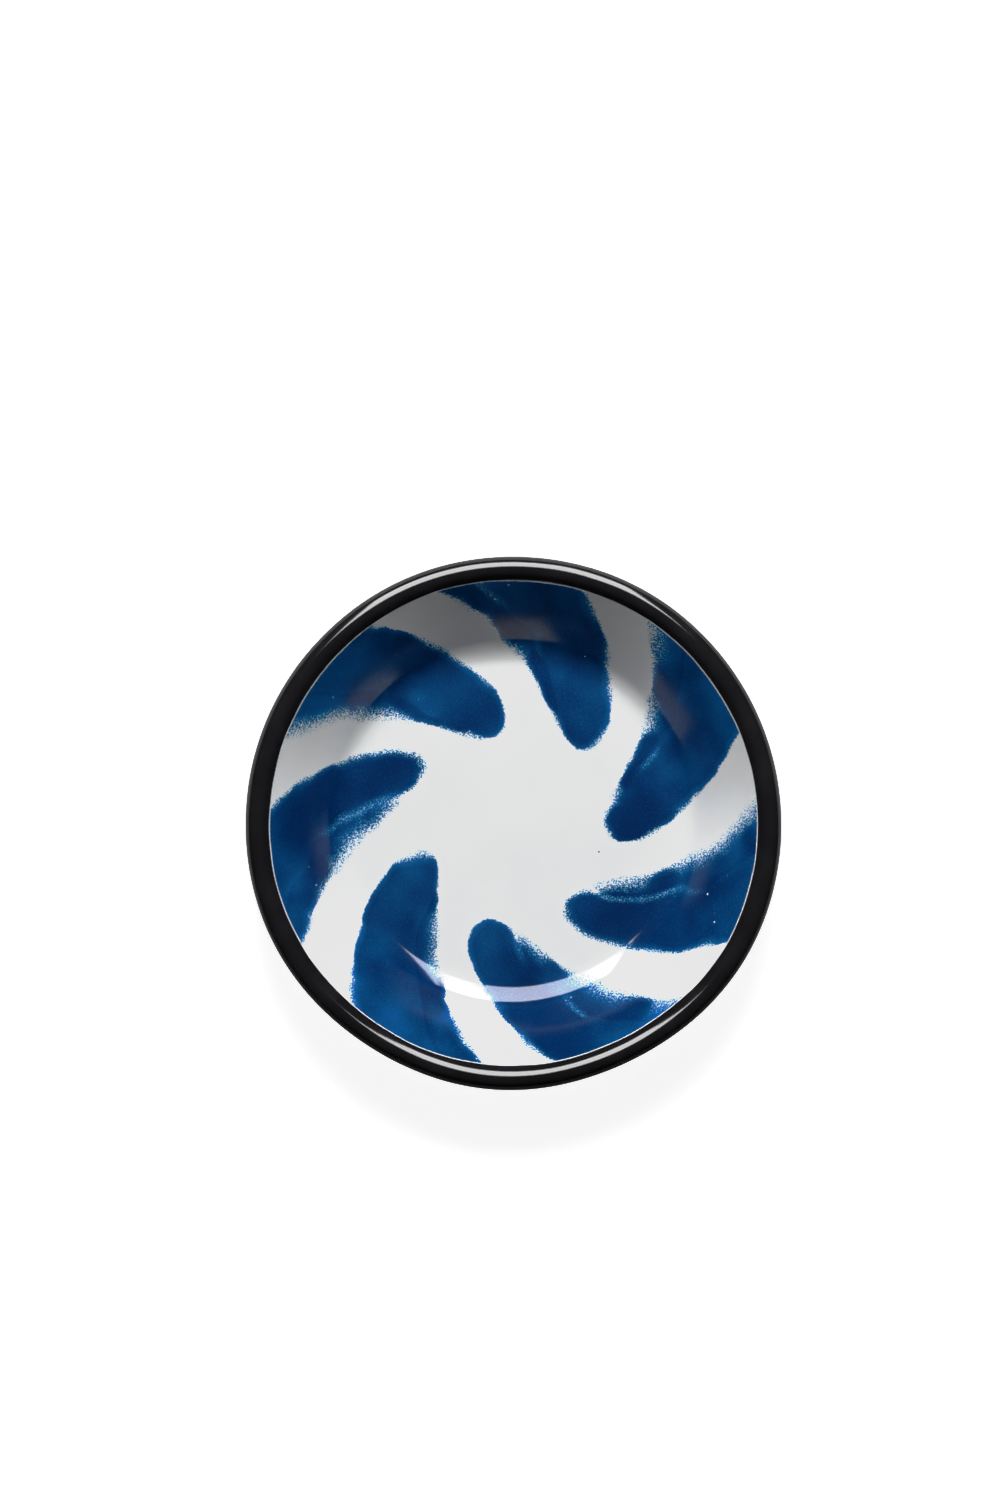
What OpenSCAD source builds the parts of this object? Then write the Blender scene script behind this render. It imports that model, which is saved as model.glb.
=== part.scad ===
// Enamelled steel soy sauce dish.
// A pressed steel sheet with a rolled rim, a dark ground coat on each side, white cover coats,
// a black coat over the rim and blue brush strokes fired onto the white food side.
// The origin is the middle of the base, on the surface that the dish stands on.

/* [Dish] */
// Diameter over the rolled rim
dish_d = 100; // [90:0.5:130]
// Radius of the flat floor
floor_r = 29.5; // [20:0.5:32]
// Radius of the bend from floor to wall, on the food side of the steel
bend_r = 8; // [5:0.5:13]
// Slope of the wall above level, in degrees
wall_slope = 43.5; // [30:0.5:60]

/* [Sheet and coats] */
// Thickness of the steel sheet
sheet_t = 0.6; // [0.4:0.05:0.8]
// Thickness of each dark ground coat
ground_t = 0.1; // [0.06:0.01:0.16]
// Thickness of the white and black cover coats
cover_t = 0.15; // [0.1:0.01:0.25]

/* [Rolled rim] */
// Radius of the curl, on the outside of the steel
curl_r = 2.05; // [1.7:0.05:2.6]
// Angle that the sheet turns through from the wall to its cut edge
curl_sweep = 290; // [270:1:296]
// Width of the black coat on the wall, below the start of the curl
black_inside = 0.85; // [0.2:0.05:2]
// Angle from down the wall round to the black coat's lower edge under the rim
black_under = 5; // [0:1:8]
// Radius of the white enamel where the rim's underside runs into the wall
seam_fillet = 0.6; // [0.3:0.05:0.8]

/* [Blue strokes] */
// Number of strokes round the dish
stroke_count = 7; // [5:1:11]
// Thickness of the blue film
stroke_t = 0.08; // [0.07:0.01:0.15]
// Distance from the middle of the dish to the strokes' heads
stroke_start_r = 17.5; // [10:0.5:22]
// Length of a stroke's rounded head, along the radius
stroke_head = 9; // [5:0.5:12]
// Angle that a stroke turns through from its head out to the rim
stroke_twist = 46; // [0:1:80]
// Share of the circle that the strokes cover
stroke_share = 0.68; // [0.3:0.01:0.7]
// White edge left between the strokes and the black coat
stroke_margin = 0.5; // [0.2:0.05:2]
// Most that a hand-laid stroke starts nearer to or farther from the middle
stroke_stray = 1.5; // [0:0.1:2]

/* [Hidden] */
$fn = 128;

// Heights above the base
coats_t = ground_t + cover_t;
floor_z = coats_t + sheet_t;

// The pressed line is the food side of the steel: floor, bend, straight wall, curl
bead_r = curl_r + coats_t;
wall_start_r = floor_r + bend_r * sin(wall_slope);
wall_end_r = dish_d / 2 - bead_r - curl_r * sin(wall_slope);
wall_l = (wall_end_r - wall_start_r) / cos(wall_slope);

// Angles in the curl's frame: the sheet leaves the wall, and down the wall is half a turn
curl_start = 90;
curl_end = curl_start - curl_sweep;
down_wall = -180;
black_end = down_wall - black_under;
plug_reach = 60;
plug_end = down_wall - plug_reach;
fillet_lap = 15;

// The corner under the rim in the curl's frame: wall surfaces of the steel, ground and white
steel_y = curl_r - sheet_t;
ground_y = steel_y - ground_t;
white_y = ground_y - cover_t;
ground_corner = [-sqrt(pow(curl_r + ground_t, 2) - pow(ground_y, 2)), ground_y];
fillet_gap = seam_fillet * cos(fillet_lap);
fillet_y = white_y - fillet_gap;
fillet_x = -sqrt(pow(bead_r + fillet_gap, 2) - pow(fillet_y, 2));
white_lap = down_wall - (atan(-fillet_y / fillet_x) + asin(white_y / bead_r)) / 2;

// Strokes
stroke_half_angle = 180 * stroke_share / stroke_count;
head_steps = 8;
side_steps = 8;
stray_turn = 150;

function direction(angle) = [cos(angle), sin(angle)];
function stroke_name(i) = str("blue_stroke_", i);
function stroke_start(i) = stroke_start_r + stroke_stray * sin(stray_turn * i);
function stroke_run(i) = dish_d / 2 - stroke_start(i);
function stroke_axis(i, run) = 360 * i / stroke_count + stroke_twist * run / stroke_run(i);

// A point at a run out from the head, spread to one side of the stroke's curved axis
function stroke_point(i, run, spread) =
    (stroke_start(i) + run) * direction(stroke_axis(i, run) + spread * stroke_half_angle);

// One edge of a stroke: a quarter ellipse round the head, then straight out in angle to the rim
function stroke_edge(i, side) = concat(
    [for (turn = [90 / head_steps : 90 / head_steps : 90])
        stroke_point(i, stroke_head * (1 - cos(turn)), side * sin(turn))],
    [for (k = [1 : side_steps])
        stroke_point(i, stroke_head + (stroke_run(i) - stroke_head) * k / side_steps, side)]
);
function backwards(points) = [for (k = [len(points) - 1 : -1 : 0]) points[k]];
function stroke_outline(i) =
    concat([stroke_point(i, 0, 0)], stroke_edge(i, 1), backwards(stroke_edge(i, -1)));

// The part of a ring between two angles
module ring_sector(inner, outer, from, to) {
    wedges = ceil((to - from) / 60);
    reach = 2 * outer;
    intersection() {
        difference() {
            circle(outer);
            circle(inner);
        }
        polygon([[0, 0], for (k = [0 : wedges]) reach * direction(from + (to - from) * k / wedges)]);
    }
}

// The wall's frame: x runs up the wall from the bend, y from the steel towards the food side
module in_wall_frame() {
    translate([floor_r, floor_z + bend_r]) rotate(wall_slope) translate([0, -bend_r]) children();
}

// The curl's frame: the same directions, from the middle of the curl
module in_curl_frame() {
    in_wall_frame() translate([wall_l, -curl_r]) children();
}

// Layers of the section, between two heights over the pressed line on its food side
module floor_band(low, high) {
    translate([0, floor_z + low]) square([floor_r, high - low]);
}

module bend_band(low, high) {
    reach = 3 * bend_r;
    intersection() {
        translate([floor_r, floor_z + bend_r]) difference() {
            circle(bend_r - low);
            circle(bend_r - high);
        }
        translate([floor_r, -bend_r]) square(reach);
        in_wall_frame() translate([-reach, -bend_r]) square(reach);
    }
}

module wall_band(low, high, bottom = 0, top = 0) {
    in_wall_frame() translate([bottom, low]) square([wall_l - bottom - top, high - low]);
}

module curl_band(low, high, from, to) {
    in_curl_frame() ring_sector(curl_r + low, curl_r + high, from, to);
}

module pressed_band(low, high, top = 0) {
    floor_band(low, high);
    bend_band(low, high);
    wall_band(low, high, top = top);
}

// Ground enamel that closes the slit between the sheet's cut edge and the wall
module seam_plug() {
    in_curl_frame() intersection() {
        ring_sector(steel_y, curl_r + ground_t, plug_end, curl_end);
        translate([-2 * bead_r, 0]) square([2 * bead_r, steel_y]);
    }
}

// White enamel that flows into the corner under the rim
module seam_meniscus() {
    in_curl_frame() difference() {
        polygon([[0, 0], ground_corner, [fillet_x, ground_y], [fillet_x, fillet_y]]);
        translate([fillet_x, fillet_y]) circle(seam_fillet);
    }
}

module steel_shell() {
    color("#8d9196") rotate_extrude() {
        pressed_band(-sheet_t, 0);
        curl_band(-sheet_t, 0, curl_end, curl_start);
    }
}

module inner_ground_coat() {
    color("#1c2333") rotate_extrude() {
        pressed_band(0, ground_t);
        curl_band(0, ground_t, curl_end, curl_start);
    }
}

module outer_ground_coat() {
    color("#1c2333") rotate_extrude() {
        pressed_band(-sheet_t - ground_t, -sheet_t, top = steel_y);
        seam_plug();
    }
}

module inner_white_enamel() {
    color("#eceeee") rotate_extrude() pressed_band(ground_t, coats_t, top = black_inside);
}

module outer_white_enamel() {
    color("#eceeee") rotate_extrude() difference() {
        union() {
            pressed_band(-sheet_t - coats_t, -sheet_t - ground_t);
            curl_band(ground_t, coats_t, white_lap, black_end);
            seam_meniscus();
        }
        in_curl_frame() circle(curl_r + ground_t);
    }
}

module black_rim_enamel() {
    color("#17171a") rotate_extrude() {
        wall_band(ground_t, coats_t, bottom = wall_l - black_inside);
        curl_band(ground_t, coats_t, black_end, curl_start);
    }
}

module blue_stroke(i) {
    color("#0a3472") intersection() {
        rotate_extrude() pressed_band(coats_t, coats_t + stroke_t, top = black_inside + stroke_margin);
        linear_extrude(dish_d) polygon(stroke_outline(i));
    }
}

steel_shell();
inner_ground_coat();
outer_ground_coat();
inner_white_enamel();
outer_white_enamel();
black_rim_enamel();
for (i = [1 : stroke_count]) {
    blue_stroke(i);
}
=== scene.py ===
"""Looks of an enamelled steel soy sauce dish: white inside, black rolled rim, blue brush strokes.

Every coat is a thin closed band that follows the pressed sheet, so the pieces nest as the coats do.
Lengths of the dish are in millimetres until a mesh is written, which is in metres.
"""

import logging
import math
from collections.abc import Callable, Mapping
from dataclasses import dataclass
from enum import Enum

import bpy
import numpy as np
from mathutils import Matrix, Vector


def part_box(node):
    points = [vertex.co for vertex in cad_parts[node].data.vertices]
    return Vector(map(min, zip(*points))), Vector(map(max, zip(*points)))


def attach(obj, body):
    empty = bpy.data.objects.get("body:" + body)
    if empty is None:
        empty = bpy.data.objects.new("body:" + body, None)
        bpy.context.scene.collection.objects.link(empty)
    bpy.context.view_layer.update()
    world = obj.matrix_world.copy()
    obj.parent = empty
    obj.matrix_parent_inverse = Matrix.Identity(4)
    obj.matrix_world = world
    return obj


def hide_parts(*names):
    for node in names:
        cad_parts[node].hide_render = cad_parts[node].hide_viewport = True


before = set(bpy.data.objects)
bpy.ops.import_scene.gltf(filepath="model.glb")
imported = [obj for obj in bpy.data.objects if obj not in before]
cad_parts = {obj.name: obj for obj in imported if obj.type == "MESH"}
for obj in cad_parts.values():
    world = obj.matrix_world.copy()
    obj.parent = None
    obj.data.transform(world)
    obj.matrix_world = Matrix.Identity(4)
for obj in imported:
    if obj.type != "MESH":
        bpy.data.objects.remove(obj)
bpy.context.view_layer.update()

LOG = logging.getLogger("soy_sauce_dish")
# Metres in a millimetre, the least angle of a sharp edge, and a divisor's least size
MM = 0.001
CREASE = math.radians(35.0)
TINY = 1e-9

Array = np.ndarray
Section = tuple[Array, Array]
Span = tuple[float, float]
Colour = tuple[float, float, float, float]
Waves = tuple[tuple[int, float, float], ...]
Material = bpy.types.Material
Piece = bpy.types.Object


class Slot(Enum):
    """Material slots of the record that the pieces take their finish from."""

    STEEL = "sheet_steel"
    GROUND = "ground_enamel"
    WHITE = "white_enamel"
    BLACK = "black_enamel"
    BLUE = "blue_enamel"


class Trace(Enum):
    """Values that a mesh carries for its finish: lengths in millimetres, and the share of a scar."""

    EDGE = "edge_in"
    END = "end_in"
    ACROSS = "across"
    SCAR = "scar"


class Rays(Enum):
    """Rays that a sheet of the studio's floor answers to, by the setting that admits them."""

    CAMERA = "visible_camera"
    PAINT = "visible_diffuse"
    GLOSS = "visible_glossy"


def smooth_step(value: Array, low: float, high: float) -> Array:
    """Rise from 0 to 1 between two limits, level at both ends: 3t^2 - 2t^3 of the clipped share t."""
    share = np.clip((value - low) / (high - low), 0.0, 1.0)
    return share * share * (3.0 - 2.0 * share)


def wave_sum(angle: Array, waves: Waves) -> Array:
    """Sum of height * cos(order * angle + phase), for waves of order, height and phase in degrees."""
    order, height, phase = (np.array(column) for column in zip(*waves))
    return (height * np.cos(np.multiply.outer(angle, order) + np.radians(phase))).sum(axis=-1)


def full_turn(columns: int) -> Array:
    """Even angles round the dish, in radians."""
    return np.arange(columns) * 2.0 * math.pi / columns


def turn_between(angle: Array, middle: Array | float) -> Array:
    """Angles as seen from a middle one, between minus and plus half a turn."""
    return np.angle(np.exp(1j * (angle - middle)))


def on_circle(radius: float, angle: Array) -> Section:
    """Points of a circle about its middle, from their angles in degrees."""
    return radius * np.cos(np.radians(angle)), radius * np.sin(np.radians(angle))


def even_rows(start: float, *legs: tuple[float, int]) -> Array:
    """Go on from a value in legs of even steps.

    Args:
        start: The first value.
        legs: Last value and number of steps of each leg.

    Returns:
        The values, with the end of each leg in them once.
    """
    rows = [np.array([start])]
    for stop, count in legs:
        rows.append(np.linspace(rows[-1][-1], stop, count + 1)[1:])
    return np.concatenate(rows)


def join_section(*parts: Section) -> Section:
    """Join stretches of a section, each of radii and heights, end to end."""
    radius, height = (np.concatenate(column) for column in zip(*parts))
    return radius, height


@dataclass
class PressedLine:
    """The food side of the pressed steel in section, from the floor's middle to the sheet's cut edge.

    A run is a length along this line: over the floor, round the bend, up the wall and round the curl.
    The sizes of the coats that follow the line are kept with it.
    """

    rim_r: float
    floor_r: float = 29.5
    bend_r: float = 8.0
    slope: float = math.radians(43.5)
    sheet_t: float = 0.6
    ground_t: float = 0.1
    cover_t: float = 0.15
    curl_r: float = 2.05
    curl_sweep: float = math.radians(290.0)
    black_inside: float = 0.85
    black_under: float = 5.0

    def __post_init__(self) -> None:
        """Work out the runs where the line or a coat changes, and the corner of the ground coats below.

        The wall is as long as it has to be for the rolled rim to end at the rim's radius. The corner is
        where the curl's ground coat meets the one under the wall: a shift off the wall from the curl's
        middle, an angle round the curl in degrees, and a run.
        """
        self.sin_s, self.cos_s = math.sin(self.slope), math.cos(self.slope)
        self.coats_t = self.ground_t + self.cover_t
        self.ground_r = self.curl_r + self.ground_t
        self.bead_r = self.curl_r + self.coats_t
        wall_end_r = self.rim_r - self.bead_r - self.curl_r * self.sin_s
        self.wall_l = (wall_end_r - self.floor_r - self.bend_r * self.sin_s) / self.cos_s
        self.wall_start = self.floor_r + self.bend_r * self.slope
        self.curl_start = self.wall_start + self.wall_l
        self.black_start = self.curl_start - self.black_inside
        self.end = self.curl_start + self.curl_r * self.curl_sweep
        self.corner_y = self.curl_r - self.sheet_t - self.ground_t
        self.corner_angle = 180.0 - math.degrees(math.asin(self.corner_y / self.ground_r))
        self.corner_run = self.curl_start - math.sqrt(self.ground_r ** 2 - self.corner_y ** 2)

    def point(self, run: Array | float, lift: Array | float) -> Section:
        """Place points beside the line.

        The line is level over the floor, turns up by the run over the bend's radius, goes straight up
        the wall and turns down by the run over the curl's radius. A lift is square to it.

        Args:
            run: Length along the line from the dish's middle.
            lift: Distance off the line, positive on the food side.

        Returns:
            Radius from the dish's axis and height over the table.
        """
        up = np.clip((run - self.floor_r) / self.bend_r, 0.0, self.slope)
        wall = np.clip(run - self.wall_start, 0.0, self.wall_l)
        down = np.clip((run - self.curl_start) / self.curl_r, 0.0, self.curl_sweep)
        heading = up - down
        radius = (np.minimum(run, self.floor_r) + self.bend_r * np.sin(up) + wall * self.cos_s
                  + self.curl_r * (self.sin_s - np.sin(self.slope - down)))
        floor_z = self.coats_t + self.sheet_t
        height = (floor_z + self.bend_r * (1.0 - np.cos(up)) + wall * self.sin_s
                  + self.curl_r * (np.cos(self.slope - down) - self.cos_s))
        return radius - lift * np.sin(heading), height + lift * np.cos(heading)

    def run_at(self, radius: Array, lift: float) -> Array:
        """Find the run of points on the floor, bend or wall from their radius.

        Args:
            radius: Radius from the dish's axis.
            lift: Distance off the line of the surface that the points lie on.

        Returns:
            The radius itself on the floor, an arcsine on the bend and a straight share on the wall.
        """
        bend_share = (radius - self.floor_r) / (self.bend_r - lift)
        bend_run = self.floor_r + self.bend_r * np.arcsin(np.clip(bend_share, 0.0, self.sin_s))
        wall_foot = self.floor_r + (self.bend_r - lift) * self.sin_s
        wall_run = np.maximum(radius - wall_foot, 0.0) / self.cos_s
        return np.minimum(radius, bend_run) + wall_run

    def from_curl(self, up_wall: Array | float, off_wall: Array | float) -> Section:
        """Turn shifts from the curl's middle into radius and height.

        Args:
            up_wall: Shift in the direction up the wall.
            off_wall: Shift square to the wall, towards the food side.

        Returns:
            Radius from the dish's axis and height over the table.
        """
        middle_r, middle_z = self.point(self.curl_start, -self.curl_r)
        radius = middle_r + up_wall * self.cos_s - off_wall * self.sin_s
        return radius, middle_z + up_wall * self.sin_s + off_wall * self.cos_s

    def on_curl(self, radius: float, angle: Array) -> Section:
        """Points of a circle round the curl's middle, from their angles in degrees from up the wall."""
        return self.from_curl(*on_circle(radius, angle))


@dataclass(frozen=True)
class HandWork:
    """Small errors of a dish that is pressed, dipped and fired by hand."""

    out_of_round: Waves = (
        (2, 0.17, 0.0), (3, 0.06, 60.0), (4, 0.05, 60.0),
        (5, 0.10, 110.0), (6, 0.06, -160.0), (7, 0.05, -65.0))
    black_edge: Waves = (
        (3, 0.05, 20.0), (5, 0.05, 140.0), (8, 0.04, 260.0),
        (13, 0.035, 75.0), (21, 0.03, 190.0), (34, 0.02, 310.0))
    edge_reach: float = 2.0
    dip_angle: float = math.radians(-92.0)
    dip_width: float = math.radians(9.0)
    dip_depth: float = 0.28
    swell: float = 0.012
    swell_growth: Span = (4.0, 20.0)
    bead_swell: float = 0.02

    def squeeze(self, angle: Array) -> Array:
        """How far the rim stands in from a true circle in millimetres, never out of it."""
        ring = np.linspace(0.0, 2.0 * math.pi, 721)
        return wave_sum(angle, self.out_of_round) - wave_sum(ring, self.out_of_round).max()

    def edge(self, angle: Array) -> Array:
        """How far up the wall the black coat's edge strays in millimetres, with one sag in it."""
        turn = turn_between(angle, self.dip_angle)
        return wave_sum(angle, self.black_edge) - self.dip_depth * np.exp(-((turn / self.dip_width) ** 2))

    def follow_edge(self, run: Array, stop: float, angle: Array) -> Array:
        """Runs that end along the black edge: those near the stop take a share of how far it strays."""
        return run + self.edge(angle) * smooth_step(run, stop - self.edge_reach, stop)

    def enamel(self, run: Array, angle: Array) -> Array:
        """Long low swells of fired enamel.

        Args:
            run: Length along the pressed line.
            angle: Angles round the dish, in radians.

        Returns:
            Lift in millimetres: three sine waves of the run and the angle, times the swell's height.
        """
        first = np.sin(run / 2.6 + 3.0 * np.sin(2.0 * angle))
        second = np.sin(run / 4.1 - 2.0 * np.cos(3.0 * angle) + 1.3)
        third = np.cos(11.0 * angle + run / 5.0)
        return self.swell * smooth_step(run, *self.swell_growth) * (first + second + third) / 3.0

    def bead(self, run: Array, angle: Array) -> Array:
        """Unevenness of the thick black coat, never over its height.

        Args:
            run: Length along the pressed line.
            angle: Angles round the dish, in radians.

        Returns:
            Lift in millimetres, zero or less: two slanted sine waves round the roll.
        """
        first = np.sin(run * 2.1 + 2.2 * np.sin(5.0 * angle) + 9.0 * angle)
        second = np.sin(run * 1.3 - 3.0 * np.cos(4.0 * angle) - 17.0 * angle)
        return self.bead_swell * ((first + second) / 4.0 - 0.5)


def math_node(operation: str, swapped: bool = False) -> Callable[..., "Signal"]:
    """Make a method that adds a Math node.

    Args:
        operation: The node's operation.
        swapped: True if the signal comes after the other value.

    Returns:
        A method of a signal, and of another value where the operation takes two.
    """
    def method(signal: "Signal", *others: "Signal | float") -> "Signal":
        """Result of the operation."""
        values = (*others, signal) if swapped else (signal, *others)
        return signal.graph.add("ShaderNodeMath", {"operation": operation}, dict(enumerate(values)))

    return method


@dataclass(frozen=True)
class Signal:
    """A value on its way through a shader, which Python's operators work on."""

    graph: "Graph"
    socket: bpy.types.NodeSocket

    __add__ = __radd__ = math_node("ADD")
    __sub__ = math_node("SUBTRACT")
    __rsub__ = math_node("SUBTRACT", swapped=True)
    __mul__ = __rmul__ = math_node("MULTIPLY")
    __truediv__ = math_node("DIVIDE")
    __rtruediv__ = math_node("DIVIDE", swapped=True)
    least = math_node("MINIMUM")
    most = math_node("MAXIMUM")
    size = math_node("ABSOLUTE")

    def rise(self, low: "Signal | float", high: "Signal | float") -> "Signal":
        """Share of the way between two limits, smooth from 0 to 1."""
        settings = {"interpolation_type": "SMOOTHSTEP"}
        return self.graph.add("ShaderNodeMapRange", settings, {0: self, 1: low, 2: high})


class Graph:
    """The node tree of one material, from Object coordinates in millimetres to a principled shader."""

    def __init__(self, name: str) -> None:
        """Start a material.

        Args:
            name: Name of the material.
        """
        self.material = bpy.data.materials.new(name)
        self.material.use_nodes = True
        self.tree = self.material.node_tree
        self.shader = self.tree.nodes["Principled BSDF"]
        metres = self.add("ShaderNodeTexCoord", {}, {}, "Object")
        self.place = self.add("ShaderNodeVectorMath", {"operation": "SCALE"}, {0: metres, "Scale": 1.0 / MM})

    def add(self, kind: str, settings: Mapping[str, object], sockets: Mapping[str | int, object],
            output: str | int = 0) -> Signal:
        """Add any node.

        Args:
            kind: Type of the node.
            settings: Properties of the node, set first.
            sockets: A number, a colour or a signal for each input, by name or place.
            output: The output to go on from.

        Returns:
            The signal at that output.
        """
        node = self.tree.nodes.new(kind)
        for name, value in settings.items():
            setattr(node, name, value)
        for key, value in sockets.items():
            self.put(node.inputs[key], value)
        return Signal(self, node.outputs[output])

    def put(self, socket: bpy.types.NodeSocket, value: object) -> None:
        """Link a signal to a socket, or set a plain value on it.

        Args:
            socket: The input to feed.
            value: A signal, number, colour or vector.
        """
        if isinstance(value, Signal):
            self.tree.links.new(value.socket, socket)
        else:
            socket.default_value = value

    def trace(self, name: Trace) -> Signal:
        """A value that the mesh carries."""
        return self.add("ShaderNodeAttribute", {"attribute_name": name.value}, {}, "Fac")

    def noise(self, size: float, detail: float, rough: float = 0.5, where: Signal | None = None) -> Signal:
        """Cloudy noise.

        Args:
            size: Width of a cloud in millimetres.
            detail: Number of finer layers.
            rough: Strength of the finer layers.
            where: Coordinates, if they aren't the piece's own place.

        Returns:
            A value round one half.
        """
        sockets = {"Vector": where or self.place, "Scale": 1.0 / size, "Detail": detail, "Roughness": rough}
        return self.add("ShaderNodeTexNoise", {}, sockets, "Fac")

    def dots(self, spacing: float, radius: float, share: float) -> Signal:
        """Scattered round dots, from half the largest radius up.

        Args:
            spacing: Mean distance between the cells that may hold a dot.
            radius: Largest radius of a dot.
            share: Share of the cells that hold one.

        Returns:
            1 inside a dot, 0 outside, soft at the edge.
        """
        sockets = {"Vector": self.place, "Scale": 1.0 / spacing}
        distance = self.add("ShaderNodeTexVoronoi", {}, sockets, "Distance") * spacing
        colour = self.add("ShaderNodeTexVoronoi", {}, sockets, "Color")
        pick, width = (self.add("ShaderNodeSeparateColor", {}, {0: colour}, channel) for channel in (0, 1))
        reach = radius * (0.5 + 0.5 * width)
        return (1.0 - distance.rise(reach * 0.7, reach)) * (1.0 - pick.rise(share * 0.98, share * 1.02))

    def mix(self, share: Signal, first: object, second: object) -> Signal:
        """Colour between two colours or colour signals: the first at share 0, the second at 1."""
        return self.add("ShaderNodeMix", {"data_type": "RGBA"}, {0: share, 6: first, 7: second}, 2)

    def bump(self, height: Signal, depth: float) -> Signal:
        """Normal over a height between 0 and 1, where 1 stands for a depth in millimetres."""
        return self.add("ShaderNodeBump", {}, {"Distance": depth * MM, "Height": height})

    def orange_peel(self, size: float) -> Signal:
        """Normal of fired enamel, with shallow waves of that size in millimetres."""
        return self.bump(self.noise(size, detail=1.0), depth=0.004)

    def finish(self, **sockets: object) -> Material:
        """Feed the principled shader.

        Args:
            sockets: Values or signals by socket name, with _ for a space.

        Returns:
            The material.
        """
        for name, value in sockets.items():
            self.put(self.shader.inputs[name.replace("_", " ")], value)
        return self.material


@dataclass(frozen=True)
class SheetSteel:
    """Pickled sheet steel, with rolling lines along X and darker clouds."""

    bright: Colour = (0.56, 0.57, 0.58, 1.0)
    dull: Colour = (0.34, 0.35, 0.36, 1.0)
    cloud: float = 9.0
    line: float = 0.35
    line_stretch: float = 20.0
    line_depth: float = 0.01

    def material(self) -> Material:
        """Build the material.

        Returns:
            The material.
        """
        graph = Graph(Slot.STEEL.value)
        squash = (1.0 / self.line_stretch, 1.0, 1.0)
        drawn = graph.add("ShaderNodeVectorMath", {"operation": "MULTIPLY"}, {0: graph.place, 1: squash})
        lines = graph.noise(self.line, detail=3.0, where=drawn)
        clouds = graph.noise(self.cloud, detail=4.0)
        return graph.finish(
            Base_Color=graph.mix(clouds.rise(0.35, 0.7), self.bright, self.dull),
            Metallic=1.0,
            Roughness=0.28 + 0.2 * lines,
            Normal=graph.bump(lines, self.line_depth))


@dataclass(frozen=True)
class GroundEnamel:
    """Dark blue-black ground coat with fine bubbles."""

    deep: Colour = (0.010, 0.013, 0.022, 1.0)
    pale: Colour = (0.026, 0.032, 0.052, 1.0)
    cloud: float = 3.0
    bubble_depth: float = 0.02

    def material(self) -> Material:
        """Build the material.

        Returns:
            The material.
        """
        graph = Graph(Slot.GROUND.value)
        clouds = graph.noise(self.cloud, detail=4.0)
        bubbles = graph.dots(spacing=0.5, radius=0.12, share=0.5)
        return graph.finish(
            Base_Color=graph.mix(clouds.rise(0.3, 0.75), self.deep, self.pale),
            Roughness=0.26 + 0.2 * clouds,
            Normal=graph.bump(bubbles, self.bubble_depth))


@dataclass(frozen=True)
class WhiteEnamel:
    """Glossy white cover coat: faint clouds, orange peel, rare dark specks, scars of the firing pins."""

    white: Colour = (0.66, 0.665, 0.665, 1.0)
    cloudy: Colour = (0.64, 0.645, 0.648, 1.0)
    speck: Colour = (0.03, 0.03, 0.035, 1.0)
    scar: Colour = GroundEnamel.pale
    cloud: float = 14.0
    gloss_size: float = 6.0
    peel: float = 1.6
    glass: float = 1.56

    def base(self, graph: Graph) -> Signal:
        """Colour of the white enamel with its clouds and specks, which thin paint shows too."""
        clouds = graph.mix(graph.noise(self.cloud, detail=3.0).rise(0.35, 0.7), self.white, self.cloudy)
        return graph.mix(graph.dots(spacing=4.0, radius=0.22, share=0.035), clouds, self.speck)

    def gloss(self, graph: Graph) -> tuple[Signal, Signal]:
        """Roughness of fired enamel, and its normal with the orange peel."""
        roughness = 0.05 + 0.05 * graph.noise(self.gloss_size, detail=2.0)
        return roughness, graph.orange_peel(self.peel)

    def material(self) -> Material:
        """Build the material.

        Returns:
            The material.
        """
        graph = Graph(Slot.WHITE.value)
        roughness, normal = self.gloss(graph)
        scar = graph.trace(Trace.SCAR)
        return graph.finish(
            Base_Color=graph.mix(scar, self.base(graph), self.scar),
            Roughness=roughness + 0.4 * scar,
            Normal=normal,
            IOR=self.glass)


@dataclass(frozen=True)
class BlackEnamel:
    """Glossy black coat of the rim, with a little dust and orange peel."""

    black: Colour = (0.0085, 0.0082, 0.0096, 1.0)
    worn: Colour = (0.0130, 0.0124, 0.0142, 1.0)
    cloud: float = 7.0
    peel: float = 1.2
    glass: float = 1.56

    def material(self) -> Material:
        """Build the material.

        Returns:
            The material.
        """
        graph = Graph(Slot.BLACK.value)
        clouds = graph.noise(self.cloud, detail=4.0)
        return graph.finish(
            Base_Color=graph.mix(clouds.rise(0.4, 0.75), self.black, self.worn),
            Roughness=0.05 + 0.07 * clouds,
            Normal=graph.orange_peel(self.peel),
            IOR=self.glass)


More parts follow.
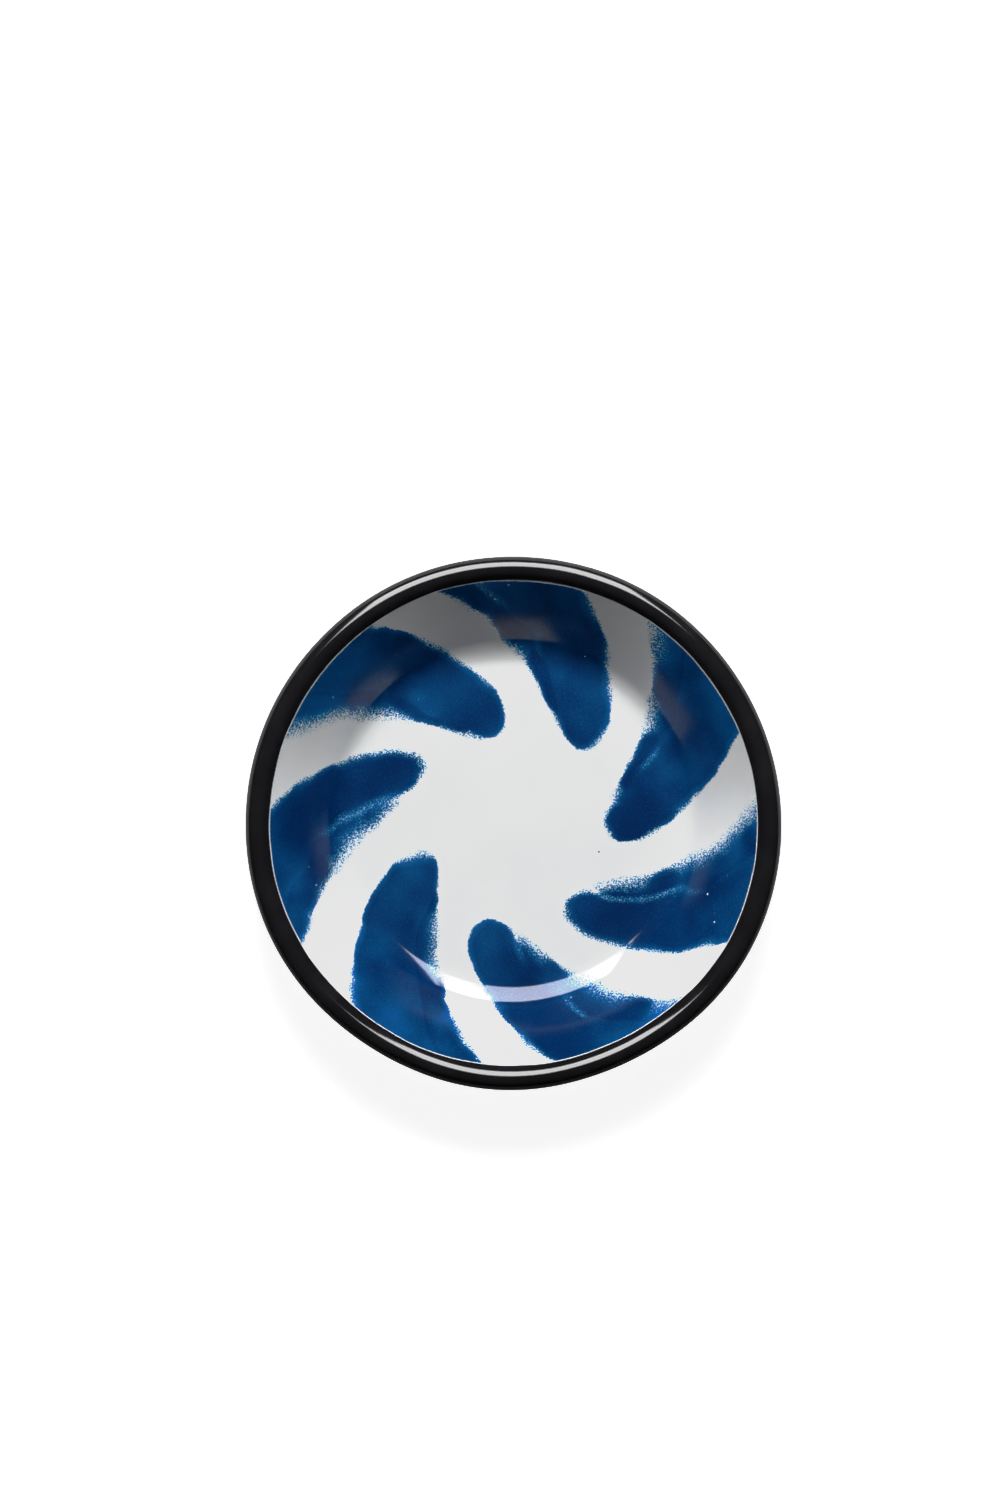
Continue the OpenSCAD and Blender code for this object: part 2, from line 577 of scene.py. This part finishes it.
@dataclass(frozen=True)
class BlueEnamel:
    """Cobalt enamel brushed onto the white: dark where thick, bright where thin, grainy at its edges."""

    deep: Colour = (0.0008, 0.0210, 0.1000, 1.0)
    thin: Colour = (0.0050, 0.1100, 0.3600, 1.0)
    pale: Colour = (0.0600, 0.3200, 0.4900, 1.0)
    grain: float = 0.3
    wander: float = 2.2
    wander_size: float = 7.0
    crisp: float = 0.36
    halo: float = 0.9
    halo_size: float = 9.0
    dry: float = 2.8
    dry_side: float = 4.0
    dry_size: float = 13.0
    seam: float = 3.0
    seam_width: float = 1.1
    seam_wander: float = 7.0
    seam_size: float = 14.0
    seam_gap_size: float = 11.0
    trim: float = 0.1
    fade: float = 12.0
    pool_size: float = 15.0
    hole_size: float = 6.0
    glass: float = 1.5
    white: WhiteEnamel = WhiteEnamel()

    def material(self) -> Material:
        """Build the material.

        The paint covers from the stroke's edge inwards, over a short way where the brush was wet and a
        long way where it was dry, and here and there it has a soft halo. Grain breaks the cover up. The
        paint is thin near the edges, on the dry side and along the seam of two passes of the brush, and
        pinholes show the white. Where it covers by half it is pale blue.

        Returns:
            The material.
        """
        graph = Graph(Slot.BLUE.value)
        edge, end, across = (graph.trace(name) for name in (Trace.EDGE, Trace.END, Trace.ACROSS))
        grain = graph.noise(self.grain, detail=2.0, rough=0.6).rise(0.3, 0.7)
        patch = graph.noise(self.dry_size, detail=1.0)
        dryness = across.rise(0.0, self.dry_side) * patch.rise(0.42, 0.6)

        inner = edge + self.wander * (graph.noise(self.wander_size, detail=2.0) - 0.5)
        soft = self.crisp + self.halo * graph.noise(self.halo_size, detail=1.0).rise(0.42, 0.62)
        cover = (inner / (soft + self.dry * dryness)).least(end / self.trim).least(1.0)
        stray = self.seam_wander * (graph.noise(self.seam_size, detail=1.0) - 0.5)
        off_seam = across - self.seam + stray
        broken = graph.noise(self.seam_gap_size, detail=0.0).rise(0.46, 0.62)
        seam = (1.0 - off_seam.size().rise(0.0, self.seam_width)) * broken
        paint = (cover - 0.4 * seam - 0.8 * grain).rise(-0.45, 0.35)

        body = (inner / (0.8 + soft + 2.5 * dryness)).least(1.0).most(0.0)
        pools = graph.noise(self.pool_size, detail=2.0) - 0.5
        near_rim = 1.0 - (end / self.fade).least(1.0)
        thick = 0.3 + 0.5 * body + 1.5 * pools - 0.3 * dryness
        thick = thick + 0.15 * off_seam.rise(0.0, 0.6) - 0.4 * seam - 0.2 * near_rim - 0.14 * grain
        blue = graph.mix(thick.rise(-0.1, 1.0), self.thin, self.deep)

        thinned = graph.noise(self.hole_size, detail=1.0).rise(0.6, 0.64)
        holes = graph.dots(spacing=1.2, radius=0.26, share=0.3) * thinned
        cover_up = paint * (1.0 - holes)
        fringe = graph.mix(cover_up.rise(0.0, 0.5), self.white.base(graph), self.pale)
        roughness, normal = self.white.gloss(graph)
        return graph.finish(
            Base_Color=graph.mix(cover_up.rise(0.4, 1.0), fringe, blue),
            Roughness=roughness,
            Normal=normal,
            IOR=self.glass)


def grid_faces(rows: int, columns: int, ring_rows: bool, ring_columns: bool) -> Array:
    """Join a grid of points into four-sided faces.

    Args:
        rows: Number of rows.
        columns: Number of points in a row.
        ring_rows: True if the last row joins the first.
        ring_columns: True if a row's last point joins its first.

    Returns:
        Indices of the corners, one face a line.
    """
    index = np.arange(rows * columns).reshape(rows, columns)
    if ring_rows:
        index = np.vstack([index, index[:1]])
    if ring_columns:
        index = np.hstack([index, index[:, :1]])
    corners = [index[:-1, :-1], index[1:, :-1], index[1:, 1:], index[:-1, 1:]]
    return np.stack(corners, axis=-1).reshape(-1, 4)


def film_faces(rows: int, columns: int) -> list[Array]:
    """Close a film between an upper grid of points and a lower one that follows it.

    Args:
        rows: Number of rows of a grid.
        columns: Number of points in a row.

    Returns:
        Indices of the corners of the upper faces, the lower ones and the wall round them.
    """
    upper = grid_faces(rows, columns, False, False)
    index = np.arange(rows * columns).reshape(rows, columns)
    rim = np.concatenate([index[:, 0], index[-1, 1:], index[-2::-1, -1], index[0, -2:0:-1]])
    following = np.roll(rim, -1)
    wall = np.stack([rim, rim + index.size, following + index.size, following], axis=1)
    return [upper, upper[:, ::-1] + index.size, wall]


def make_piece(name: str, points: Array, faces: list[Array], traces: Mapping[Trace, Array]) -> Piece:
    """Write arrays into a smooth mesh object that rides on the dish.

    Args:
        name: Name of the piece.
        points: Points in millimetres, one a line.
        faces: Arrays of corner indices.
        traces: Values at the points for the finish.

    Returns:
        The new object.
    """
    mesh = bpy.data.meshes.new(name)
    mesh.from_pydata((points * MM).tolist(), [], [face for block in faces for face in block.tolist()])
    mesh.shade_smooth()
    for trace, values in traces.items():
        layer = mesh.attributes.new(trace.value, "FLOAT", "POINT")
        layer.data.foreach_set("value", values.astype(np.float32))
    mesh.set_sharp_from_angle(angle=CREASE)
    mesh.update()
    piece = bpy.data.objects.new(name, mesh)
    bpy.context.scene.collection.objects.link(piece)
    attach(piece, "root")
    return piece


def dress(piece: Piece, material: Material, slot: Slot, *nodes: str) -> None:
    """Give a piece its finish and let it stand for its CAD nodes.

    Args:
        piece: The piece.
        material: Its finish.
        slot: Not used.
        nodes: CAD nodes that the piece stands for.
    """
    piece.data.materials.append(material)
    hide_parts(*nodes)
    LOG.info("%s stands for %s: %d faces", piece.name, ", ".join(nodes), len(piece.data.polygons))


@dataclass(frozen=True)
class Turning:
    """Turns sections of the dish round its axis, with the errors of the hand."""

    line: PressedLine
    hand: HandWork

    def spread(self, radius: Array, height: Array, angle: Array) -> Array:
        """Place points of sections in space.

        Each point goes to radius * (cos, sin) of its angle. The radius is drawn in by the rim's
        squeeze times the square of its share of the rim's radius.

        Args:
            radius: Radius from the axis.
            height: Height over the table.
            angle: Angle round the axis.

        Returns:
            Points, one a line.
        """
        drawn = radius + self.hand.squeeze(angle) * (radius / self.line.rim_r) ** 2
        places = np.broadcast_arrays(drawn * np.cos(angle), drawn * np.sin(angle), height)
        return np.stack(places, axis=-1).reshape(-1, 3)

    def disc(self, name: str, radius: Array, height: Array, angle: Array,
             traces: Mapping[Trace, Array] | None = None) -> Piece:
        """Turn a closed section that starts and ends on the axis.

        The first and last rows shrink to one point each. The section goes out on top and back below.

        Args:
            name: Name of the piece.
            radius: Radius of each row, for all angles or for each.
            height: Height of each row, for all angles or for each.
            angle: Angles of the columns.
            traces: Values for the finish, at the rows and angles.

        Returns:
            The closed piece.
        """
        rows, columns = len(radius), len(angle)
        radius, height = radius.reshape(rows, -1), height.reshape(rows, -1)
        points = self.spread(radius[1:-1], height[1:-1], angle)
        poles = np.array([[0.0, 0.0, height[0, 0]], [0.0, 0.0, height[-1, 0]]])
        ring = np.arange(columns)
        below = ring + (rows - 3) * columns
        count = len(points)
        top = np.stack([np.full(columns, count), ring, np.roll(ring, -1)], axis=1)
        foot = np.stack([np.full(columns, count + 1), np.roll(below, -1), below], axis=1)
        faces = [grid_faces(rows - 2, columns, False, True), top, foot]
        kept = {trace: np.append(values[1:-1], values[[0, -1], 0])
                for trace, values in (traces or {}).items()}
        return make_piece(name, np.vstack([points, poles]), faces, kept)

    def hoop(self, name: str, radius: Array, height: Array, angle: Array) -> Piece:
        """Turn a closed section that stays clear of the axis, of rows with a value for each angle."""
        points = self.spread(radius, height, angle)
        return make_piece(name, points, [grid_faces(len(radius), len(angle), True, True)], {})


@dataclass(frozen=True)
class SheetAndGround:
    """The pressed steel sheet and the dark ground coats on its two sides."""

    turning: Turning
    columns: int = 240
    rows: int = 14
    curl_rows: int = 48
    plug_reach: float = 60.0

    def to_wall(self, stop: float) -> Array:
        """Runs of the rows from the axis over the floor and the bend to a stop on the wall."""
        line = self.turning.line
        return even_rows(0.0, (line.floor_r, self.rows), (line.wall_start, self.rows), (stop, self.rows))

    def band(self, name: str, low: float, high: float) -> Piece:
        """Build a layer of even thickness from the axis to the sheet's cut edge.

        Args:
            name: Name of the piece.
            low: Lift of the lower face off the pressed line.
            high: Lift of the upper face.

        Returns:
            The closed layer.
        """
        line = self.turning.line
        curl = even_rows(line.curl_start, (line.end, self.curl_rows))
        runs = np.append(self.to_wall(line.curl_start), curl[1:])
        section = join_section(line.point(runs, high), line.point(runs[::-1], low))
        return self.turning.disc(name, *section, full_turn(self.columns))

    def underside_ground(self) -> Piece:
        """Build the ground coat below, with the plug that closes the slit of the roll.

        Above, the section runs out under the steel to the plug's tip inside the roll, then round the
        roll's inside to the cut edge. It comes back round the roll's outside and under the wall.

        Returns:
            The closed coat.
        """
        line = self.turning.line
        steel_y = line.curl_r - line.sheet_t
        tip, cut = 180.0 - self.plug_reach, 90.0 + 360.0 - math.degrees(line.curl_sweep)
        above = self.to_wall(line.curl_start + steel_y / math.tan(math.radians(tip)))
        below = self.to_wall(line.corner_run)[::-1]
        section = join_section(
            line.point(above, -line.sheet_t),
            line.on_curl(steel_y, np.linspace(tip, cut, 9)),
            line.on_curl(line.ground_r, np.linspace(cut, line.corner_angle, 7)[:-1]),
            line.point(below, -line.sheet_t - line.ground_t))
        return self.turning.disc("underside_ground", *section, full_turn(self.columns))

    def build(self) -> None:
        """Build and dress the sheet and its ground coats."""
        line = self.turning.line
        steel, ground = SheetSteel().material(), GroundEnamel().material()
        dress(self.band("steel_sheet", -line.sheet_t, 0.0), steel, Slot.STEEL, "steel_shell")
        dress(self.band("food_side_ground", 0.0, line.ground_t), ground, Slot.GROUND, "inner_ground_coat")
        dress(self.underside_ground(), ground, Slot.GROUND, "outer_ground_coat")


@dataclass(frozen=True)
class WhiteCoats:
    """The white cover coats: the food side, and the underside with its meniscus below the rim."""

    turning: Turning
    columns: int = 384
    seam_fillet: float = 0.6
    pin_angles: tuple[float, ...] = (25.0, 145.0, 265.0)
    pin_run: float = 41.0
    pin_radius: float = 0.55
    pin_depth: float = 0.09
    pin_zone: float = 0.9
    pin_rows: int = 24
    scar_dent: Span = (0.25, 0.8)

    def food_side(self) -> Piece:
        """Build the white food side, which ends at the wavering edge of the black coat.

        The last millimetres of the runs stretch to the black edge. The upper face has the enamel's swell.

        Returns:
            The closed coat.
        """
        line, hand = self.turning.line, self.turning.hand
        angle = full_turn(self.columns)
        stop = line.black_start
        above = even_rows(
            0.0, (line.floor_r, 28), (line.wall_start, 32), (stop - hand.edge_reach, 24), (stop, 12))
        below = even_rows(0.0, (line.floor_r, 8), (line.wall_start, 14), (stop, 8))[::-1]
        above, below = (hand.follow_edge(run[:, None], stop, angle) for run in (above, below))
        section = join_section(
            line.point(above, line.coats_t + hand.enamel(above, angle)), line.point(below, line.ground_t))
        return self.turning.disc("food_side_white", *section, angle)

    def underside(self) -> Piece:
        """Build the white underside, with three scars where the dish stood on pins in the kiln.

        Above, the section runs out along the ground coat and round the roll. Below, it comes back from
        the black coat's lower edge over a hollow fillet that touches roll and wall. A scar is a dent
        of depth * (1 - (distance / radius)^2).

        Returns:
            The closed coat.
        """
        line = self.turning.line
        fillet_y = line.corner_y - line.cover_t - self.seam_fillet
        fillet_x = -math.sqrt((line.bead_r + self.seam_fillet) ** 2 - fillet_y ** 2)
        black_end = 180.0 - line.black_under
        touch = math.degrees(math.atan2(fillet_y, fillet_x))
        arc_x, arc_y = on_circle(self.seam_fillet, np.linspace(touch - 180.0, 90.0, 13))
        above = even_rows(0.0, (line.floor_r, 8), (line.wall_start, 14), (line.corner_run, 8))[:-1]
        below = even_rows(
            0.0, (line.floor_r, 24), (line.wall_start, 28), (self.pin_run - self.pin_zone, 8),
            (self.pin_run + self.pin_zone, self.pin_rows), (line.curl_start + fillet_x, 12))[-2::-1]
        radius, height = join_section(
            line.point(above, -line.sheet_t - line.ground_t),
            line.on_curl(line.ground_r, np.linspace(line.corner_angle, black_end, 9)),
            line.on_curl(line.bead_r, np.linspace(black_end, touch, 5)[:-1]),
            line.from_curl(fillet_x + arc_x, fillet_y + arc_y),
            line.point(below, -line.sheet_t - line.coats_t))

        pins = np.radians(self.pin_angles)
        near_pin = np.linspace(-self.pin_zone, self.pin_zone, self.pin_rows + 1)
        pin_turn = near_pin / line.point(self.pin_run, 0.0)[0]
        pin_columns = np.add.outer(pins, pin_turn) % (2.0 * math.pi)
        angle = np.unique(np.append(full_turn(self.columns // 2), pin_columns))
        off_pin = np.abs(turn_between(angle[:, None], pins)).min(axis=1)
        run = np.append(np.full(len(radius) - len(below), -line.end), below)
        away = np.hypot((run - self.pin_run)[:, None], radius[:, None] * off_pin)
        dent = np.clip(1.0 - (away / self.pin_radius) ** 2, 0.0, 1.0)
        radius = radius[:, None] - self.pin_depth * dent * line.sin_s
        height = height[:, None] + self.pin_depth * dent * line.cos_s
        scar = smooth_step(dent, *self.scar_dent)
        return self.turning.disc("underside_white", radius, height, angle, {Trace.SCAR: scar})

    def build(self) -> None:
        """Build and dress both white coats."""
        white = WhiteEnamel().material()
        dress(self.food_side(), white, Slot.WHITE, "inner_white_enamel")
        dress(self.underside(), white, Slot.WHITE, "outer_white_enamel")


@dataclass(frozen=True)
class BlackRim:
    """The black coat over the rolled rim."""

    turning: Turning
    columns: int = 480
    over_rows: int = 60
    under_rows: int = 24
    edge_runs: tuple[float, ...] = (0.0, 0.008, 0.03, 0.07, 0.14, 0.25, 0.4)
    edge_lifts: tuple[float, ...] = (0.3, 0.75, 0.97, 1.0, 1.0, 1.0, 1.0)
    edge_width: float = 0.6
    edge_settle: float = 0.5
    edge_steady: float = 2.0
    lip: float = 0.02
    lip_up: Span = (0.0, 0.1)
    lip_down: Span = (0.2, 1.2)

    def band(self) -> Piece:
        """Build the coat from its wavering edge on the wall, over the roll, to its edge below.

        The upper face starts rounded at the edge, stands proud as a small lip and then follows the roll.

        Returns:
            The closed coat.
        """
        line, hand = self.turning.line, self.turning.hand
        angle = full_turn(self.columns)
        start = line.black_start
        stop = line.curl_start + line.curl_r * math.radians(270.0 + line.black_under)
        over = even_rows(start + self.edge_width, (stop, self.over_rows))
        above = np.append(start + np.array(self.edge_runs), over)
        below = even_rows(stop, (start, self.under_rows))
        above, below = (
            run + hand.edge(angle) * (1.0 - smooth_step(run, start, line.curl_start + self.edge_steady))
            for run in (above[:, None], below[:, None]))
        since = above - start
        lip = self.lip * smooth_step(since, *self.lip_up) * (1.0 - smooth_step(since, *self.lip_down))
        uneven = hand.bead(above, angle) * smooth_step(since, 0.0, self.edge_settle)
        rounded = np.append(self.edge_lifts, np.ones(len(over)))[:, None]
        lift = line.ground_t + line.cover_t * rounded + lip + uneven
        section = join_section(line.point(above, lift), line.point(below, line.ground_t))
        return self.turning.hoop("rim_black", *section, angle)

    def build(self) -> None:
        """Build and dress the black coat."""
        dress(self.band(), BlackEnamel().material(), Slot.BLACK, "black_rim_enamel")


@dataclass(frozen=True)
class BrushWork:
    """Blue strokes that swirl from a ring on the floor out to a thin white margin under the rim."""

    turning: Turning
    count: int = 7
    start_r: float = 17.5
    stray: float = 1.5
    stray_turn: float = math.radians(150.0)
    head: float = 9.0
    head_from: float = math.radians(12.0)
    twist: float = math.radians(46.0)
    share: float = 0.68
    margin: float = 0.2
    fringe: float = 1.3
    film: float = 0.035
    film_side: Span = (-0.3, 1.2)
    film_end: Span = (0.0, 0.4)
    least_film: float = 0.008
    rows: int = 90
    columns: int = 57

    def stroke(self, number: int) -> Piece:
        """Build one stroke as a thin film on the white.

        The stroke's axis starts at a radius and turns with the run out from it. Its sides keep an
        equal angle from the axis, and its head is half an ellipse. The film is a grid of runs and
        sideways shares that reaches a fringe past that outline, where the paint fades out.

        Args:
            number: Number of the stroke, from 1.

        Returns:
            The closed film.
        """
        line, hand = self.turning.line, self.turning.hand
        start = self.start_r + self.stray * math.sin(self.stray_turn * number)
        full = line.rim_r - start
        half = math.pi * self.share / self.count
        stop_run = line.black_start - self.margin
        stop = line.point(stop_run, line.coats_t)[0]

        turn = np.linspace(self.head_from, math.pi / 2.0, self.rows // 3)
        head_out = (self.head + self.fringe) * (1.0 - np.cos(turn)) - self.fringe
        straight = np.linspace(self.head, stop - start, self.rows - len(turn) + 1)[1:]
        out = np.append(head_out, straight)[:, None]
        bulge = np.append(np.sin(turn), np.ones(len(straight)))[:, None]
        radius = start + out
        skew = np.cos(np.arctan(radius * self.twist / full))
        reach = half * radius + self.fringe / skew
        sideways = np.linspace(-1.0, 1.0, self.columns) * bulge * reach
        angle = 2.0 * math.pi * number / self.count + self.twist * out / full + sideways / radius

        across = sideways * skew
        half_width = half * radius * skew
        before = np.maximum(self.head - out, 0.0)
        share = np.hypot(before / self.head, across / half_width)
        steep = np.hypot(before / self.head ** 2, across / half_width ** 2)
        edge = (1.0 - share) * np.where(steep > 0.0, share / np.maximum(steep, TINY), half_width)
        run = np.broadcast_to(line.run_at(radius, line.coats_t), angle.shape)
        end = stop_run - run
        run = hand.follow_edge(run, stop_run, angle)
        foot = line.coats_t + hand.enamel(run, angle)
        film = self.film * smooth_step(edge, *self.film_side) * smooth_step(end, *self.film_end)
        points = [self.turning.spread(*line.point(run, lift), angle)
                  for lift in (foot + self.least_film + film, foot)]
        traces = {Trace.EDGE: edge, Trace.END: end, Trace.ACROSS: across}
        doubled = {trace: np.append(values, values) for trace, values in traces.items()}
        return make_piece(f"brush_stroke_{number}", np.vstack(points), film_faces(*angle.shape), doubled)

    def build(self) -> None:
        """Build and dress every stroke."""
        blue = BlueEnamel().material()
        for number in range(1, self.count + 1):
            dress(self.stroke(number), blue, Slot.BLUE, f"blue_stroke_{number}")


@dataclass(frozen=True)
class SoftBox:
    """A rectangular light that faces the dish, with its distance and size in metres."""

    name: str
    turn: float
    lift: float
    pitch: float
    distance: float
    size: Span
    radiance: float
    on_paint: bool = True
    on_gloss: bool = True

    def towards(self, lift: float) -> Vector:
        """Direction from the dish at the light's turn and at a lift, both in degrees."""
        turn, rise = math.radians(self.turn), math.radians(lift)
        return Vector((math.sin(turn) * math.cos(rise), math.cos(turn) * math.cos(rise), math.sin(rise)))

    def build(self) -> None:
        """Place the light by its turn from +Y towards +X and its lift, and pitch its face down."""
        data = bpy.data.lights.new(self.name, "AREA")
        data.shape = "RECTANGLE"
        data.size, data.size_y = self.size
        data.energy = self.radiance * math.pi * math.prod(self.size)
        lamp = bpy.data.objects.new(self.name, data)
        lamp.location = self.towards(self.lift) * self.distance
        lamp.rotation_euler = (-self.towards(self.pitch)).to_track_quat("-Z", "Y").to_euler()
        lamp.visible_diffuse, lamp.visible_glossy = self.on_paint, self.on_gloss
        bpy.context.scene.collection.objects.link(lamp)


@dataclass(frozen=True)
class Floor:
    """A wide sheet of pale paper that the camera sees, that lights the paint or that the gloss shows.

    It has two tones, before the dish and behind it, where a darker front is a painted shadow of the dish; it
    has a glow near it and far from it.
    """

    name: str
    rays: Rays
    level: float
    tone_and_painted_shade: Span
    glow: Span
    painted_shade_edge: Span = (-60.0, 10.0)
    glow_change: Span = (150.0, 600.0)
    half: float = 6000.0
    roughness: float = 0.9

    def paper(self) -> Material:
        """Build the paper's material.

        Returns:
            The material.
        """
        graph = Graph(self.name)
        behind = graph.add("ShaderNodeSeparateXYZ", {}, {0: graph.place}, "Y")
        away = graph.add("ShaderNodeVectorMath", {"operation": "LENGTH"}, {0: graph.place}, "Value")
        front_tone_and_shade, back, near, far = ((level, level, level, 1.0) for level in (*self.tone_and_painted_shade, *self.glow))
        return graph.finish(
            # Darker before the dish than behind it where the two tones differ: a painted shadow of the dish.
            Base_Color=graph.mix(behind.rise(*self.painted_shade_edge), front_tone_and_shade, back),
            Emission_Color=graph.mix(away.rise(*self.glow_change), near, far),
            Emission_Strength=1.0,
            Roughness=self.roughness)

    def build(self) -> None:
        """Build the sheet as a part of the stage, seen by its own rays only and without a shadow."""
        half, level = self.half * MM, self.level * MM
        mesh = bpy.data.meshes.new(self.name)
        corners = [(-half, -half, level), (half, -half, level), (half, half, level), (-half, half, level)]
        mesh.from_pydata(corners, [], [(0, 1, 2, 3)])
        mesh.materials.append(self.paper())
        sheet = bpy.data.objects.new(self.name, mesh)
        for rays in Rays:
            setattr(sheet, rays.value, rays is self.rays)
        sheet.visible_shadow = False
        bpy.context.scene.collection.objects.link(sheet)


@dataclass(frozen=True)
class Studio:
    """Pale floor and backdrop, soft lights, the camera over the dish and the film's response.

    The dish's place and size in the image are in pixels, and the sensor and the lens in millimetres.
    """

    turning: Turning
    image: Span = (1000.0, 1500.0)
    dish_middle: Span = (513.4, 822.9)
    dish_radius: float = 267.4
    sensor: float = 36.0
    lens: float = 120.0
    response: tuple[Span, ...] = (
        (0.11, 0.12), (0.22, 0.22), (0.30, 0.335), (0.38, 0.475),
        (0.45, 0.655), (0.53, 0.77), (0.62, 0.80), (0.83, 0.84))
    floors: tuple[Floor, ...] = (
        Floor("studio_floor", Rays.CAMERA, level=-0.05, tone_and_painted_shade=(0.3, 0.3), glow=(0.90, 1.02)),
        Floor("studio_bounce", Rays.PAINT, level=-0.1, tone_and_painted_shade=(0.85, 0.85), glow=(0.36, 0.36)),
        # The mirror sheet is dark, darkest before the dish: painted shade, a painted shadow of the dish on
        # the floor that the rim's gloss shows.
        Floor("studio_mirror", Rays.GLOSS, level=-0.15, tone_and_painted_shade=(0.06, 0.5), glow=(0.0, 0.0)))
    lights: tuple[SoftBox, ...] = (
        SoftBox("key_paint", turn=0.0, lift=45.0, pitch=45.0, distance=0.62, size=(0.30, 0.20),
                radiance=22.6, on_gloss=False),
        SoftBox("key_gloss", turn=-3.0, lift=52.8, pitch=20.5, distance=1.57, size=(1.33, 1.44),
                radiance=8.6, on_paint=False),
        SoftBox("fill_right", turn=65.0, lift=18.0, pitch=18.0, distance=1.0, size=(0.5, 0.3),
                radiance=1.8, on_gloss=False),
        SoftBox("fill_left", turn=-65.0, lift=18.0, pitch=18.0, distance=1.0, size=(0.5, 0.3),
                radiance=2.2, on_gloss=False),
        SoftBox("ceiling", turn=0.0, lift=90.0, pitch=90.0, distance=1.5, size=(4.0, 4.0), radiance=0.025))

    def build_backdrop(self) -> None:
        """Make the air behind the stage white to the camera, without any light from it."""
        world = bpy.data.worlds.new("studio_backdrop")
        bpy.context.scene.world = world
        world.use_nodes = True
        world.node_tree.nodes["Background"].inputs["Color"].default_value = (1.0, 1.0, 1.0, 1.0)
        world.cycles_visibility.diffuse = False
        world.cycles_visibility.glossy = False

    def build_camera(self) -> None:
        """Place the camera straight above, so that the rim has its size and place in the image."""
        line, hand = self.turning.line, self.turning.hand
        width, height = self.image
        middle_x, middle_y = self.dish_middle
        rim_r = line.rim_r + hand.squeeze(np.linspace(0.0, 2.0 * math.pi, 361)).mean()
        rim_z = line.from_curl(0.0, 0.0)[1]
        away = self.lens * rim_r / (self.dish_radius * self.sensor / height)
        data = bpy.data.cameras.new("camera")
        data.sensor_fit = "VERTICAL"
        data.sensor_height = self.sensor
        data.lens = self.lens
        data.clip_start = 0.01
        data.shift_x = (width / 2.0 - middle_x) / height
        data.shift_y = (middle_y - height / 2.0) / height
        camera = bpy.data.objects.new("camera", data)
        camera.location = (0.0, 0.0, (rim_z + away) * MM)
        bpy.context.scene.collection.objects.link(camera)
        bpy.context.scene.camera = camera

    def set_response(self) -> None:
        """Give the film a soft shoulder, as a camera has, by the curve that all colours share."""
        view = bpy.context.scene.view_settings
        view.view_transform = "Standard"
        view.use_curve_mapping = True
        shared_curve = view.curve_mapping.curves[3]
        for level, shown in self.response:
            shared_curve.points.new(level, shown)
        view.curve_mapping.update()

    def build(self) -> None:
        """Build the whole studio."""
        for item in (*self.floors, *self.lights):
            item.build()
        self.build_backdrop()
        self.build_camera()
        self.set_response()


def main() -> None:
    """Build the dish from the sheet outwards, then the studio, with the rim's radius read off the CAD rim's
    box.
    """
    logging.basicConfig(level=logging.INFO, format="%(name)s: %(message)s")
    low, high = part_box("black_rim_enamel")
    line = PressedLine(rim_r=round((high[0] - low[0]) / 2.0 / MM, 1))
    turning = Turning(line, HandWork())
    SheetAndGround(turning).build()
    WhiteCoats(turning).build()
    BlackRim(turning).build()
    BrushWork(turning).build()
    Studio(turning).build()


if __name__ == "__main__":
    main()
